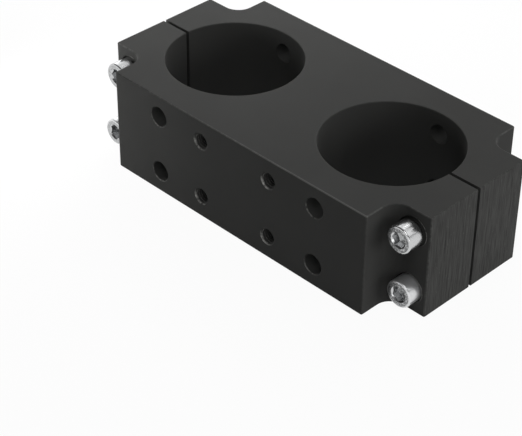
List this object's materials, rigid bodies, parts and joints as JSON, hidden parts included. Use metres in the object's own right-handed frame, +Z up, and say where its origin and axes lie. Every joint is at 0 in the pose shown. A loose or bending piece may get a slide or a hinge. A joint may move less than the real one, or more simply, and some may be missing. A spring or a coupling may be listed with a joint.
{
  "type": "clamping base",
  "caption": "Rectangular block with two split tube bores side by side, notched corners for the cross clamp screws, and plain and tapped holes for fixing it by its front face.",
  "frame": {"origin": "under the middle of the block, on the face that it stands on", "axes": "+X along the block from one tube bore to the other, -Y out of the front face with the eight holes and the screw heads, +Z up along the tube bores"},
  "size_m": [0.15, 0.074, 0.04],
  "materials": {
    "black_anodised": "black anodised, satin, with fine extrusion lines on the upright faces",
    "bright_zinc": "bright zinc plated"
  },
  "bodies": {
    "block": {"clamp_block": "black_anodised"},
    "left_upper_screw": {"clamp_screw_left_upper": "bright_zinc"},
    "left_lower_screw": {"clamp_screw_left_lower": "bright_zinc"},
    "right_upper_screw": {"clamp_screw_right_upper": "bright_zinc"},
    "right_lower_screw": {"clamp_screw_right_lower": "bright_zinc"}
  },
  "joints": [
    {"name": "left_upper_screw_travel", "type": "slide", "parent": "block", "child": "left_upper_screw", "axis": [0, -1, 0], "range_m": [-0.0018, 0.0132]},
    {"name": "left_lower_screw_travel", "type": "slide", "parent": "block", "child": "left_lower_screw", "axis": [0, -1, 0], "range_m": [-0.0036, 0.0114]},
    {"name": "right_upper_screw_travel", "type": "slide", "parent": "block", "child": "right_upper_screw", "axis": [0, -1, 0], "range_m": [-0.0019, 0.0131]},
    {"name": "right_lower_screw_travel", "type": "slide", "parent": "block", "child": "right_lower_screw", "axis": [0, -1, 0], "range_m": [0, 0.015]}
  ]
}
